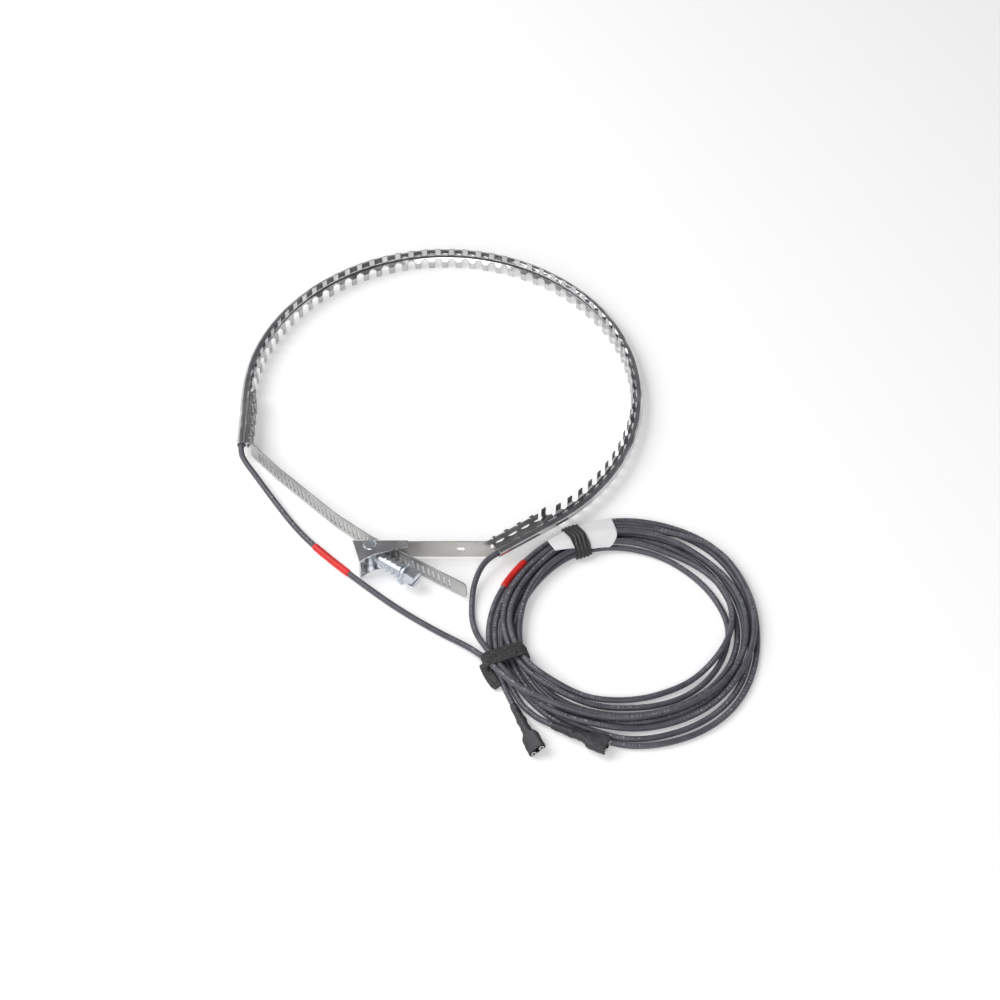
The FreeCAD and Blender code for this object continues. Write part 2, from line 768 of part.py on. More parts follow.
def terminal_place(shape, start, heading_deg, rise_deg, roll_deg):
    shape.rotate(Vec(0, 0, 0), Vec(1, 0, 0), roll_deg)
    shape.rotate(Vec(0, 0, 0), Vec(0, 1, 0), -rise_deg)
    shape.rotate(Vec(0, 0, 0), Vec(0, 0, 1), heading_deg)
    shape.translate(Vec(*start))
    return shape


# Coil: its two edges are rounds with a few gentle waves, as it lies slack
def wave(angle_deg, terms):
    return sum(size * math.cos(order * math.radians(angle_deg - phase)) for order, size, phase in terms)


outer_waves = ((2, 2.35, 58.4),)
squeeze_deg = 115.0
squeeze_spread_deg = 14.0
inner_waves = ((1, 2.39, 124.4), (2, 3.49, -3.1), (3, 1.58, -24.7))


def coil_point(radius, angle_deg, z=0.0):
    angle = math.radians(angle_deg)
    return Vec(coil_x + radius * math.cos(angle), coil_y + radius * math.sin(angle), z)


def outer_edge_radius(angle_deg):
    """The coil's outer edge, drawn in a little where the ribbed tie squeezes it."""
    away = (angle_deg - squeeze_deg) / squeeze_spread_deg
    return coil_outer_radius + wave(angle_deg, outer_waves) - tie_squeeze * math.exp(-away ** 2)


def inner_edge_radius(angle_deg):
    return coil_inner_radius + wave(angle_deg, inner_waves)


def coil_edge(radius_at, grow, z):
    degs = [edge_step_deg * k for k in range(int(360.0 / edge_step_deg))]
    points = [coil_point(radius_at(deg) + grow, deg, z) for deg in degs]
    return Part.Face(Part.makePolygon(points + points[:1]))


def coil_hull(grow, low, high):
    """The coil's outer shape, grown by a gap, between two heights."""
    outer = coil_edge(outer_edge_radius, grow, low)
    inner = coil_edge(inner_edge_radius, -grow, low)
    return outer.cut(inner).extrude(Vec(0, 0, high - low))


def across_coil(angle_deg, width, low, high):
    """A block across the bundle at one angle."""
    block = Part.makeBox(coil_outer_radius, width, high - low)
    block.translate(Vec(coil_inner_radius / 2.0, -width / 2.0, low))
    block.rotate(Vec(0, 0, 0), Vec(0, 0, 1), angle_deg)
    block.translate(Vec(coil_x, coil_y, 0))
    return block


def sector(start_deg, end_deg, inner, low, high):
    """A wedge of a tall ring round the coil's centre."""
    outer = 2.0 * coil_outer_radius
    corners = [(inner, start_deg), (outer, start_deg), (outer, end_deg), (inner, end_deg)]
    corners.append((inner, (start_deg + end_deg) / 2.0))
    points = [coil_point(radius, deg, low) for radius, deg in corners]
    return Part.Face(Part.makePolygon(points + points[:1])).extrude(Vec(0, 0, high - low))


def build_tie(angle_deg, width, thickness, gap):
    """A flat strap closed round the bundle; the bundle is lifted by its thickness."""
    lift = thickness + gap
    block = across_coil(angle_deg, width, 0.0, coil_height + lift)
    outer = coil_hull(gap + thickness, 0.0, coil_height + lift)
    inner = coil_hull(gap, thickness, coil_height + gap)
    return outer.cut(inner).common(block)


ribbed_gap = soft_gap + label_thickness + soft_gap


def left_normal(start, end):
    return unit(Vec(start.y - end.y, end.x - start.x, 0))


def terminal_bay(letter):
    """Room at the coil's outer edge for a lead's last stretch and its sleeve."""
    tail, turn, inside = [Vec(x, y, 0) for x, y, z in tail_routes[letter]]
    stations = [0.0, sleeve_length / 2.0, bay_flare_start, sleeve_length + bay_end_gap]
    neck, shoulder, flare, mouth = [Vec(*terminal_axis(letter, along)) for along in stations]
    narrow = sleeve_crimp_radius + soft_gap
    wide = sleeve_flat_width / 2.0 + soft_gap
    first = left_normal(tail, turn)
    side = left_normal(turn, inside)
    points = [tail + first * narrow, neck + side * narrow, shoulder + side * narrow, flare + side * wide,
              mouth + side * wide, mouth - side * sleeve_length, tail - first * sleeve_length]
    flat = [Vec(p.x, p.y, -coil_height / 2.0) for p in points]
    return Part.Face(Part.makePolygon(flat + flat[:1])).extrude(Vec(0, 0, 2.0 * coil_height))


def build_coil():
    hull = coil_hull(0.0, 0.0, coil_height)
    hook_lift = hook_tie_thickness + soft_gap
    ribbed_lift = ribbed_tie_thickness + ribbed_gap
    bays = [across_coil(hook_tie_deg, hook_tie_width + 2.0 * soft_gap, -coil_height, hook_lift),
            across_coil(ribbed_tie_deg, ribbed_tie_width + 2.0 * soft_gap, -coil_height, ribbed_lift),
            terminal_bay("a"), terminal_bay("b")]
    return hull.cut(bays)


def build_label():
    outer = coil_hull(soft_gap + label_thickness, 0.0, coil_height + soft_gap + label_thickness)
    inner = coil_hull(soft_gap, 0.0, coil_height + soft_gap)
    inner_side = coil_inner_radius + label_depth
    keep = sector(label_start_deg, label_end_deg, inner_side, coil_height / 3.0, 3.0 * coil_height)
    return outer.cut(inner).common(keep)


def build_marker_b():
    outer = coil_hull(soft_gap + 2.0 * marker_wall, 0.0, coil_height + soft_gap + 2.0 * marker_wall)
    inner = coil_hull(soft_gap, 0.0, coil_height + soft_gap)
    inner_side = coil_outer_radius - marker_b_depth
    keep = sector(marker_b_start_deg, marker_b_end_deg, inner_side, coil_height / 4.0, 3.0 * coil_height)
    return outer.cut(inner).common(keep)


def build_cord():
    reach = straight_length - seal_recess - seal_length
    ends = [along_end(round_section(cord_radius), end, 0.0, reach) for end in end_angles]
    return along_arc(round_section(cord_radius)).multiFuse(ends).removeSplitter()


export("spine_channel", build_channel())
export("heater_cord", build_cord())
for seal_name, end_angle in (("end_seal_right", arc_start_deg), ("end_seal_left", arc_end_deg)):
    seal_start = straight_length - seal_recess - seal_length
    export(seal_name, along_end(round_section(cord_radius), end_angle, seal_start, seal_length))
export("plain_strap", build_plain_strap())
export("slotted_band", build_slotted_band())
export("clamp_housing", build_housing())
export("pivot_barrel", build_barrel())
export("worm_screw", build_screw())

coil = build_coil()
export("lead_coil", coil)
cords = {"left_lead": left_route, "right_lead": right_route, "lead_tail_a": tail_routes["a"],
         "lead_tail_b": tail_routes["b"]}
for cord_name, cord_route in cords.items():
    cord_solid = tube(cord_route, lead_radius)
    report_cord(cord_name, cord_route, cord_solid, lead_radius)
    export(cord_name, cord_solid)

export("marker_sleeve_a", build_marker_a())
export("marker_sleeve_b", build_marker_b())
export("hook_loop_tie", build_tie(hook_tie_deg, hook_tie_width, hook_tie_thickness, soft_gap))
export("ribbed_tie", build_tie(ribbed_tie_deg, ribbed_tie_width, ribbed_tie_thickness, ribbed_gap))
export("wrap_label", build_label())
for letter, place in terminal_places.items():
    export("terminal_" + letter, terminal_place(build_terminal(), *place))
    export("terminal_sleeve_" + letter, terminal_place(build_sleeve(), *place))
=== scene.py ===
import math
import random

import bpy
from mathutils import Matrix, Vector


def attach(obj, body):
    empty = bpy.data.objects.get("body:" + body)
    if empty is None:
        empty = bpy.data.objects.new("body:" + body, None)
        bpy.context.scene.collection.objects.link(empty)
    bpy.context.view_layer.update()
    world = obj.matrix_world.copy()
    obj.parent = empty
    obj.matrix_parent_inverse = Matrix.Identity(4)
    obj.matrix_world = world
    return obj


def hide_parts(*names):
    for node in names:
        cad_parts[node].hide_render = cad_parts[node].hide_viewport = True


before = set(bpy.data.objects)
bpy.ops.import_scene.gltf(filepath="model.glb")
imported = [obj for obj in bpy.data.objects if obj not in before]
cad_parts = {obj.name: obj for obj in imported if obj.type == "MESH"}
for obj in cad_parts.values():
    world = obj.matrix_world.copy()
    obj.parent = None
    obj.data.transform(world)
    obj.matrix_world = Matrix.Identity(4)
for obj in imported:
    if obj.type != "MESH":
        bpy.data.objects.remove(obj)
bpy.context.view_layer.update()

# Looks of the crankcase heater: materials for the metal nodes, both supply leads as continuous
# cords with their coil, the ties, label, markers and shrunk sleeves. Blender works in metres.
# Routes, coil radii and heights are written in millimetres and become metres through MM.

MM = 0.001

# Leads and their coil, as in the part's source; angles count round the coil's centre
LEAD_RADIUS = 1.55 * MM
LEAD_DIAMETER = 2.0 * LEAD_RADIUS
COIL_CENTRE = (94.8 * MM, -154.0 * MM)
COIL_INNER_LIMIT, COIL_OUTER_LIMIT = 40.0, 74.0
LEFT_ROUTE = [
    (-108.0, -36.6, 7.5), (-108.0, -42.2, 7.5), (-105.2, -48.2, 7.0), (-99.5, -56.0, 5.8),
    (-92.4, -66.4, 4.3), (-84.0, -78.4, 3.0), (-76.2, -89.2, 2.2), (-65.4, -101.8, 2.0),
    (-46.0, -120.2, 2.0), (-22.0, -140.8, 1.6), (0.5, -156.4, 1.6), (14.6, -165.2, 2.6),
    (23.4, -173.4, 4.6),
]
RIGHT_ROUTE = [
    (31.01, -109.74, 7.5), (26.39, -112.91, 7.5), (22.3, -117.8, 6.6), (19.3, -124.4, 4.9),
    (17.6, -132.0, 3.2), (17.2, -140.0, 2.0), (17.3, -147.6, 1.65), (18.9, -156.0, 2.6),
    (22.4, -164.6, 4.6),
]

# Ties round the coil
HOOK_TIE_DEG = 198.5
HOOK_TIE_WIDTH = 8.0 * MM
HOOK_TIE_THICKNESS = 1.3 * MM
HOOK_TIE_GAP = 0.12
LOOSE_END_LINE = ((23.6, -176.6, 3.6), (25.6, -183.6, 2.7), (30.8, -190.2, 2.1))
LOOSE_END_ACROSS = Vector((-0.80, -0.35, -0.48))
LOOSE_END_HALF_SHARE = 0.33
RIBBED_TIE_DEG = 112.7
RIBBED_TIE_WIDTH = 8.4 * MM
RIBBED_TIE_THICKNESS = 1.1 * MM
RIBBED_TIE_GAP = 0.38

# Wrapped label
LABEL_START_DEG = 93.7
LABEL_END_DEG = 124.5
LABEL_ROUND_DEG = 99.2
LABEL_START_SLANT = 1.9
LABEL_END_SLANT = 3.1
LABEL_INNER_RADIUS = 50.3
LABEL_TAPER = 0.01
LABEL_CORNER = 6.5
LABEL_GAP = 0.16
LABEL_EDGE_HEIGHT = 2.0
LABEL_THICKNESS = 0.12 * MM

# Red marker sleeves: one on the left lead's free run, one on the coil's outermost turn
MARKER_WALL = 0.38 * MM
MARKER_A_SPAN = ((-65.6, -101.4, 2.0), (-46.6, -119.6, 2.0))
MARKER_B_START = (66.0, 139.5, 2.0)
MARKER_B_END = (66.8, 157.0, 2.0)
MARKER_MIDDLE_DEG = 148.2
OUTER_TURN_LENGTH = 0.55
LINE_STEP = 0.5 * MM

# Pale dashes along the leads
MARKED_LENGTH = 1.7
MARK_PITCH = 1.7 * MM
MARK_SHARE = 0.45
MARK_SIDE = 0.17
MARK_HALF_WIDTH = 0.055
MARK_OPACITY = 0.5
MARK_INK = (0.5, 0.5, 0.5, 1.0)

# Terminals: neck of the shrunk sleeve, then its heading, rise and roll in degrees
TERMINALS = {
    "a": ((38.2, -201.0, 2.8), -67.0, 3.2, 35.0),
    "b": ((57.4, -213.2, 3.2), -27.0, 4.0, 6.0),
}
LEAD_BEFORE_NECK = -6.0
LEAD_PAST_NECK = 8.0
SLEEVE_LENGTH = 30.1
SLEEVE_WALL = 0.42
SLEEVE_BORE = 1.56
SLEEVE_SIDES = 48
SLEEVE_STEPS = 90
SLEEVE_SEEDS = {"a": 3, "b": 5}
# Along the sleeve: share of its length, half width, half height and how square its section is
SLEEVE_STATIONS = [
    (0.0, 1.72, 1.72, 2.0), (0.02, 1.95, 1.95, 2.0), (0.1, 2.1, 2.1, 2.0), (0.24, 2.12, 2.1, 2.0),
    (0.29, 2.25, 2.2, 2.0), (0.33, 2.6, 2.42, 2.0), (0.37, 2.66, 2.5, 2.1), (0.42, 2.35, 2.2, 2.0),
    (0.47, 2.3, 2.15, 2.0), (0.52, 2.52, 2.35, 2.1), (0.57, 2.5, 2.3, 2.2), (0.62, 3.0, 2.2, 2.5),
    (0.68, 4.2, 2.2, 3.0), (0.74, 4.6, 2.25, 3.3), (0.88, 4.65, 2.3, 3.5), (1.0, 4.68, 2.3, 3.6),
]

# Texture scales of sheet metal, per metre, and the depth of its fine lines
CLOUD_SCALE = 55.0
LINE_SCALE = 900.0
LINE_DEPTH = 0.04 * MM
DENT_SCALE = 90.0
GRAIN_DEPTH = 0.06 * MM

# Studio
FLOOR_HALF = 6.0
FLOOR_DROP = 0.05 * MM
FLOOR_GLOW = 0.25
SKY_TONES = [(0.0, (1.0, 1.0, 1.0)), (0.22, (0.86, 0.86, 0.86)),
             (0.5, (0.20, 0.20, 0.205)), (1.0, (0.13, 0.13, 0.135))]
SKY_FRONT, SKY_BACK = 0.62, 1.3
LAMP_TARGET = (0.02, -0.07, 0.0)
CAMERA_PLACE = (0.0317, -0.8167, 0.9385)
CAMERA_TILT_DEG = 38.55
CAMERA_LENS = 80.93


# Materials
def new_material(name):
    material = bpy.data.materials.new(name)
    material.use_nodes = True
    tree = material.node_tree
    shader = tree.nodes["Principled BSDF"]
    return material, tree, shader


def coordinates(tree):
    return tree.nodes.new("ShaderNodeTexCoord").outputs["Object"]


def noise(tree, vector, scale, detail=3.0, roughness=0.55):
    node = tree.nodes.new("ShaderNodeTexNoise")
    node.inputs["Scale"].default_value = scale
    node.inputs["Detail"].default_value = detail
    node.inputs["Roughness"].default_value = roughness
    tree.links.new(vector, node.inputs["Vector"])
    return node.outputs["Fac"]


def ramp(tree, value, stops):
    node = tree.nodes.new("ShaderNodeValToRGB")
    elements = node.color_ramp.elements
    while len(elements) < len(stops):
        elements.new(0.5)
    for element, (position, colour) in zip(elements, stops):
        element.position = position
        element.color = (*colour, 1.0)
    tree.links.new(value, node.inputs["Fac"])
    return node.outputs["Color"]


def spread(tree, value, low, high, from_low=0.3, from_high=0.7):
    node = tree.nodes.new("ShaderNodeMapRange")
    node.inputs["From Min"].default_value = from_low
    node.inputs["From Max"].default_value = from_high
    node.inputs["To Min"].default_value = low
    node.inputs["To Max"].default_value = high
    tree.links.new(value, node.inputs["Value"])
    return node.outputs["Result"]


def maths(tree, operation, first, second=0.0):
    """A maths node whose inputs may be numbers or other nodes' outputs."""
    node = tree.nodes.new("ShaderNodeMath")
    node.operation = operation
    for socket, value in zip(node.inputs, (first, second)):
        if isinstance(value, (int, float)):
            socket.default_value = value
        else:
            tree.links.new(value, socket)
    return node.outputs["Value"]


def bump(tree, value, strength, distance, onto):
    """Relief from a texture, added to the normal of the shader or relief node given."""
    node = tree.nodes.new("ShaderNodeBump")
    node.inputs["Strength"].default_value = strength
    node.inputs["Distance"].default_value = distance
    tree.links.new(value, node.inputs["Height"])
    tree.links.new(node.outputs["Normal"], onto.inputs["Normal"])
    return node


def rounded_edges(tree, relief, radius):
    """Soften the shading across bends and sheared edges."""
    soft = tree.nodes.new("ShaderNodeBevel")
    soft.samples = 6
    soft.inputs["Radius"].default_value = radius
    tree.links.new(soft.outputs["Normal"], relief.inputs["Normal"])


def sheet_metal(name, dark, light, low_rough, high_rough, edge=0.25 * MM, dents=1.2 * MM):
    """Bright rolled sheet: cloudy tone, fine drawing lines and faces that are never quite flat."""
    material, tree, shader = new_material(name)
    cloud = noise(tree, coordinates(tree), CLOUD_SCALE, 4.0)
    lines = noise(tree, coordinates(tree), LINE_SCALE, 5.0, 0.7)
    shader.inputs["Metallic"].default_value = 1.0
    tree.links.new(ramp(tree, cloud, [(0.3, dark), (0.7, light)]), shader.inputs["Base Color"])
    tree.links.new(spread(tree, cloud, low_rough, high_rough), shader.inputs["Roughness"])
    fine = bump(tree, lines, 0.12, LINE_DEPTH, shader)
    waves = bump(tree, noise(tree, coordinates(tree), DENT_SCALE, 1.0), 1.0, dents, fine)
    rounded_edges(tree, waves, edge)
    return material


def rubber(name, dark, light, roughness, grain=2600.0, strength=0.15, patches=180.0):
    """Soft matt skin with a fine grain and a slightly uneven tone."""
    material, tree, shader = new_material(name)
    cloud = noise(tree, coordinates(tree), patches, 4.0)
    fine = noise(tree, coordinates(tree), grain, 2.0)
    tree.links.new(ramp(tree, cloud, [(0.3, dark), (0.7, light)]), shader.inputs["Base Color"])
    tree.links.new(spread(tree, cloud, roughness - 0.06, roughness + 0.08), shader.inputs["Roughness"])
    shader.inputs["Specular IOR Level"].default_value = 0.45
    bump(tree, fine, strength, GRAIN_DEPTH, shader)
    return material


def add_pale_marks(material, cord_length, side):
    """Rows of short plain dashes in a faded pale ink along one side of a lead."""
    tree = material.node_tree
    shader = tree.nodes["Principled BSDF"]
    base = shader.inputs["Base Color"].links[0].from_socket
    place = tree.nodes.new("ShaderNodeTexCoord")
    parts = tree.nodes.new("ShaderNodeSeparateXYZ")
    tree.links.new(place.outputs["UV"], parts.inputs["Vector"])
    along = maths(tree, "MULTIPLY", parts.outputs["X"], cord_length / MARK_PITCH)
    combined = tree.nodes.new("ShaderNodeCombineXYZ")
    tree.links.new(along, combined.inputs["X"])
    line = combined.outputs["Vector"]

    uneven = maths(tree, "MULTIPLY", noise(tree, line, 0.35, 1.0), 3.0)
    share = maths(tree, "FRACT", maths(tree, "ADD", along, uneven))
    dash = maths(tree, "LESS_THAN", share, MARK_SHARE)
    worn = spread(tree, noise(tree, line, 0.55, 1.0), 0.15, 1.0, 0.42, 0.6)
    grouped = spread(tree, noise(tree, line, 0.045, 0.0), 0.0, 1.0, 0.48, 0.51)
    aside = maths(tree, "ABSOLUTE", maths(tree, "SUBTRACT", parts.outputs["Y"], side))
    row = maths(tree, "LESS_THAN", aside, MARK_HALF_WIDTH)
    ink = maths(tree, "MULTIPLY", maths(tree, "MULTIPLY", dash, row), maths(tree, "MULTIPLY", worn, grouped))

    mix = tree.nodes.new("ShaderNodeMix")
    mix.data_type = "RGBA"
    under, over = [socket for socket in mix.inputs if socket.type == "RGBA"]
    mixed = [socket for socket in mix.outputs if socket.type == "RGBA"][0]
    tree.links.new(maths(tree, "MULTIPLY", ink, MARK_OPACITY), mix.inputs["Factor"])
    tree.links.new(base, under)
    over.default_value = MARK_INK
    tree.links.new(mixed, shader.inputs["Base Color"])


stainless = sheet_metal("stainless", (0.45, 0.45, 0.46), (0.66, 0.66, 0.67), 0.12, 0.24, 0.3 * MM)
strap_steel = sheet_metal("strap_steel", (0.50, 0.485, 0.465), (0.63, 0.615, 0.59), 0.30, 0.42)
band_steel = sheet_metal("band_steel", (0.37, 0.37, 0.365), (0.50, 0.50, 0.49), 0.26, 0.4)
housing_steel = sheet_metal("housing_steel", (0.60, 0.60, 0.605), (0.86, 0.86, 0.865), 0.14, 0.26, 0.2 * MM)
zinc = sheet_metal("zinc", (0.58, 0.62, 0.67), (0.78, 0.82, 0.86), 0.22, 0.36, 0.15 * MM, 0.2 * MM)
tinned = sheet_metal("tinned", (0.78, 0.78, 0.77), (0.92, 0.92, 0.91), 0.2, 0.32)
lead_rubber = rubber("lead", (0.067, 0.067, 0.081), (0.109, 0.108, 0.131), 0.42)
cord_silicone = rubber("heater_cord", (0.10, 0.10, 0.105), (0.15, 0.15, 0.15), 0.5)
seal_rubber = rubber("end_seal", (0.03, 0.03, 0.03), (0.05, 0.05, 0.05), 0.5)
marker_red = rubber("marker", (0.60, 0.015, 0.013), (0.75, 0.030, 0.025), 0.4)
shrink = rubber("shrink_sleeve", (0.025, 0.025, 0.028), (0.045, 0.044, 0.050), 0.46, 900.0, 0.3)
hook_loop = rubber("hook_loop", (0.006, 0.006, 0.007), (0.085, 0.084, 0.085), 0.85, 1500.0, 1.0, 1300.0)
ribbed_black = rubber("ribbed_black", (0.006, 0.006, 0.006), (0.050, 0.050, 0.051), 0.42, 1200.0, 0.5, 1000.0)
paper = rubber("paper", (0.84, 0.84, 0.845), (0.89, 0.89, 0.895), 0.45, 1500.0, 0.1)

for node, material in {
        "spine_channel": stainless, "heater_cord": cord_silicone, "end_seal_right": seal_rubber,
        "end_seal_left": seal_rubber, "plain_strap": strap_steel, "slotted_band": band_steel,
        "clamp_housing": housing_steel, "pivot_barrel": zinc, "worm_screw": zinc,
        "terminal_a": tinned, "terminal_b": tinned}.items():
    node_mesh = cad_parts[node].data
    node_mesh.materials.clear()
    node_mesh.materials.append(material)


# Coil: radius of each lead's turns at a few angles round the coil, from the innermost turns to the
# outermost, and the heights found by laying each turn on those below it
KEY_DEG = [198, 206, 215, 228, 241, 255, 270, 285, 300, 315, 330, 345, 360, 380, 405, 430, 450, 472,
           495, 517, 536, 558]
TURNS = {
    ("b", 3): [63.9, 64.5, 65.0, 65.6, 66.4, 67.3, 70.4, 71.1, 71.8, 71.6, 70.2, 68.5, 67.8, 68.9,
               71.2, 70.4, 69.4, 66.9, 65.5, 66.5, 68.4, 70.1],
    ("a", 3): [60.8, 61.2, 61.6, 62.4, 63.3, 64.3, 66.6, 66.7, 67.2, 67.5, 66.6, 65.0, 64.8, 65.8,
               68.0, 67.2, 66.3, 63.8, 62.2, 63.1, 65.2, 67.0],
    ("b", 2): [57.7, 58.0, 58.3, 58.5, 58.2, 57.6, 57.2, 57.2, 58.0, 59.4, 60.6, 61.2, 61.4, 61.0,
               61.4, 60.9, 60.0, 58.3, 58.8, 59.7, 61.8, 63.9],
    ("a", 2): [54.6, 55.0, 55.1, 55.0, 54.2, 53.2, 52.6, 52.8, 53.6, 55.2, 56.6, 57.6, 57.8, 57.2,
               57.6, 57.4, 56.6, 55.0, 55.4, 56.4, 58.5, 60.8],
    ("b", 1): [59.3, 57.8, 56.0, 53.2, 50.9, 49.2, 48.1, 48.7, 50.0, 51.2, 52.0, 52.6, 53.2, 51.0,
               49.4, 50.2, 51.2, 51.8, 52.2, 53.2, 55.4, 57.7],
    ("a", 1): [56.2, 55.4, 53.2, 49.6, 46.6, 44.5, 43.3, 43.0, 43.6, 45.6, 48.2, 51.4, 54.8, 56.6,
               54.4, 53.8, 53.6, 53.4, 53.2, 52.8, 52.8, 54.6],
    ("b", 0): [68.6, 67.8, 66.6, 65.0, 63.2, 61.6, 60.6, 60.8, 61.6, 63.0, 64.0, 65.2, 66.4, 67.2,
               69.4, 64.0, 63.2, 60.8, 60.4, 61.4, 61.8, 59.3],
    ("a", 0): [71.6, 70.9, 68.8, 64.0, 60.0, 57.2, 55.9, 55.4, 56.4, 58.2, 60.2, 61.6, 62.4, 62.2,
               60.0, 60.6, 59.4, 58.6, 57.0, 57.8, 58.6, 56.2],
}
# Where both leads go on past their last turn, below the first turns
TAIL_RADII = {("b", 4): [70.1, 70.4], ("a", 4): [67.0, 68.6, 70.0, 70.5]}
LAYING_ORDER = [(lead, turn) for turn in (4, 3, 2, 1, 0) for lead in ("b", "a")]
STEP_DEG = 10
FIRST_DEG = 198
STATIONS = 36
FLOOR_GAP = 0.08
CORNER_GIVE_BACK = 0.2
# What lies under the bundle and lifts it: angle, lift and half of its flat width in degrees
LIFTS = ((HOOK_TIE_DEG, 1.35, 5.0), (HOOK_TIE_DEG + 360.0, 1.35, 5.0),
         (RIBBED_TIE_DEG + 360.0, 1.15, 5.0), (MARKER_MIDDLE_DEG + 360.0, 0.4, 9.0))
LIFT_FADE_DEG = 9.0


def turn_radius(turn, deg):
    """Radius of one turn, in millimetres, at an angle counted on from its start."""
    values = TURNS[turn]
    slopes = []
    for k in range(len(KEY_DEG)):
        low, high = max(k - 1, 0), min(k + 1, len(KEY_DEG) - 1)
        slopes.append((values[high] - values[low]) / (KEY_DEG[high] - KEY_DEG[low]))
    k = max(i for i in range(len(KEY_DEG) - 1) if KEY_DEG[i] <= deg)
    span = KEY_DEG[k + 1] - KEY_DEG[k]
    t = (deg - KEY_DEG[k]) / span
    return (values[k] * (2 * t ** 3 - 3 * t ** 2 + 1) + values[k + 1] * (3 * t ** 2 - 2 * t ** 3)
            + span * (slopes[k] * (t ** 3 - 2 * t ** 2 + t) + slopes[k + 1] * (t ** 3 - t ** 2)))


def lift_at(deg):
    """How far the ties' lower runs and the marker lift the bundle, in millimetres."""
    lift = 0.0
    for centre, height, flat in LIFTS:
        away = max(abs(deg - centre) - flat, 0.0) / LIFT_FADE_DEG
        lift = max(lift, height * math.exp(-away ** 2))
    return lift


def laid_heights():
    """Heights of all turns at every station, each resting on the turns laid before it."""
    diameter = LEAD_DIAMETER / MM
    degs = [FIRST_DEG + STEP_DEG * k for k in range(STATIONS + 1)]
    radii = {turn: [turn_radius(turn, deg) for deg in degs] for turn in TURNS}
    radii.update(TAIL_RADII)
    heights = {}
    for turn in LAYING_ORDER:
        row = []
        for k, deg in enumerate(degs[:len(radii[turn])]):
            rest = diameter / 2.0 + FLOOR_GAP + lift_at(deg)
            for other, other_row in heights.items():
                if k >= len(other_row):
                    continue
                away = abs(radii[turn][k] - radii[other][k])
                if away < diameter:
                    rest = max(rest, other_row[k] + math.sqrt(diameter ** 2 - away ** 2))
            row.append(rest)
        high = [max(row[max(k - 1, 0):k + 2]) for k in range(len(row))]
        heights[turn] = [0.25 * high[max(k - 1, 0)] + 0.5 * max(high[k], row[k])
                         + 0.25 * high[min(k + 1, len(row) - 1)] for k in range(len(row))]
    return degs, radii, heights


STATION_DEGS, COIL_RADII, COIL_HEIGHTS = laid_heights()


def coil_place(radius_mm, deg, height_mm):
    angle = math.radians(deg)
    return (COIL_CENTRE[0] / MM + radius_mm * math.cos(angle),
            COIL_CENTRE[1] / MM + radius_mm * math.sin(angle), height_mm)


def coil_points(lead):
    """Control points of a lead's four turns, with the corner the spline cuts given back."""
    points = []
    for turn in range(4):
        key = (lead, turn)
        last = STATIONS + 1 if turn == 3 else STATIONS
        for k in range(1 if turn == 0 else 0, last):
            height = COIL_HEIGHTS[key][k]
            if k == 0:
                height = (height + COIL_HEIGHTS[(lead, turn - 1)][STATIONS]) / 2.0
            points.append(coil_place(COIL_RADII[key][k] + CORNER_GIVE_BACK, STATION_DEGS[k], height))
    return points


def terminal_axis(letter, along):
    """A point on a terminal's axis, measured from its sleeve's neck, in millimetres."""
    start, heading_deg, rise_deg, _ = TERMINALS[letter]
    level = along * math.cos(math.radians(rise_deg))
    heading = math.radians(heading_deg)
    return (start[0] + level * math.cos(heading), start[1] + level * math.sin(heading),
            start[2] + along * math.sin(math.radians(rise_deg)))


def make_cord(name, points, material):
    """A round lead along a smooth line with these control points, in millimetres."""
    curve = bpy.data.curves.new(name, "CURVE")
    curve.dimensions = "3D"
    curve.resolution_u = 6
    spline = curve.splines.new("NURBS")
    spline.points.add(len(points) - 1)
    for control, point in zip(spline.points, points):
        control.co = (point[0] * MM, point[1] * MM, point[2] * MM, 1.0)
    spline.order_u = 3
    spline.use_endpoint_u = True
    curve.bevel_depth = LEAD_RADIUS
    curve.bevel_resolution = 4
    curve.use_fill_caps = True
    curve.materials.append(material)
    cord = bpy.data.objects.new(name, curve)
    bpy.context.collection.objects.link(cord)
    return cord


def centreline(cord):
    """Points along a cord's own line."""
    curve = cord.data
    depth = curve.bevel_depth
    curve.bevel_depth = 0.0
    bpy.context.view_layer.update()
    evaluated = cord.evaluated_get(bpy.context.evaluated_depsgraph_get())
    line = bpy.data.meshes.new_from_object(evaluated)
    curve.bevel_depth = depth
    points = [v.co.copy() for v in line.vertices]
    bpy.data.meshes.remove(line)
    return points


def line_length(points):
    return sum((b - a).length for a, b in zip(points, points[1:]))


TAILS = {"a": [(33.9, -189.6, 1.8)], "b": [(41.4, -199.6, 1.7), (46.8, -205.6, 2.6)]}
CORD_POINTS = {
    "left": LEFT_ROUTE + coil_points("a") + TAILS["b"]
    + [terminal_axis("b", LEAD_BEFORE_NECK), terminal_axis("b", LEAD_PAST_NECK)],
    "right": RIGHT_ROUTE + coil_points("b") + TAILS["a"]
    + [terminal_axis("a", LEAD_BEFORE_NECK), terminal_axis("a", LEAD_PAST_NECK)],
}
left_cord = make_cord("left_lead_cord", CORD_POINTS["left"], lead_rubber)
right_cord = make_cord("right_lead_cord", CORD_POINTS["right"], lead_rubber)
add_pale_marks(lead_rubber, MARKED_LENGTH, MARK_SIDE)
left_line = centreline(left_cord)
right_line = centreline(right_cord)


# Pieces along a cord
def add_piece(name, vertices, faces, material):
    """A smooth mesh piece of one material."""
    mesh = bpy.data.meshes.new(name)
    mesh.from_pydata(vertices, [], faces)
    mesh.shade_smooth()
    mesh.materials.append(material)
    piece = bpy.data.objects.new(name, mesh)
    bpy.context.collection.objects.link(piece)
    return piece


